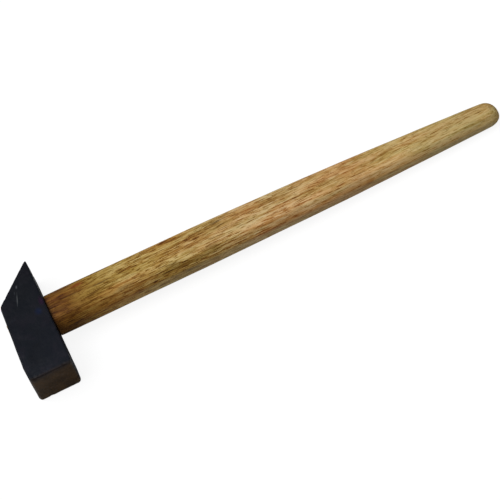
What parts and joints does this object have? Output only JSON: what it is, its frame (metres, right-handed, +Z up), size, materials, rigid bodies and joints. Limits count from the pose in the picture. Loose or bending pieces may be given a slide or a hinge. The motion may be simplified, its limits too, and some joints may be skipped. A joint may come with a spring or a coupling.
{
  "type": "blacksmith cross peen hammer",
  "caption": "Blacksmith's hammer: a square bodied head with one sloped cross peen and a flat striking face, wedged on a long tapered wooden handle.",
  "frame": {"origin": "on the lower cheek of the head, straight below the point where the handle's axis crosses the middle of the eye", "axes": "+X along the handle from the head to the butt, -Y out of the striking face, +Y towards the peen, +Z up out of the upper cheek"},
  "size_m": [0.3616, 0.0855, 0.032],
  "materials": {
    "blackened_steel": "forged steel with a blue-black scale finish on the cheeks, browned and bare at the striking face",
    "oiled_wood": "open-pored golden brown wood, rubbed with oil, darkened where it meets the head",
    "wedge_wood": "pale dry wood, end grain showing",
    "wedge_steel": "bare steel, dulled and hammer-marked"
  },
  "bodies": {
    "root": {"hammer_head": "blackened_steel", "handle": "oiled_wood", "wooden_wedge": "wedge_wood", "steel_wedge_face_side": "wedge_steel", "steel_wedge_peen_side": "wedge_steel"}
  },
  "joints": []
}
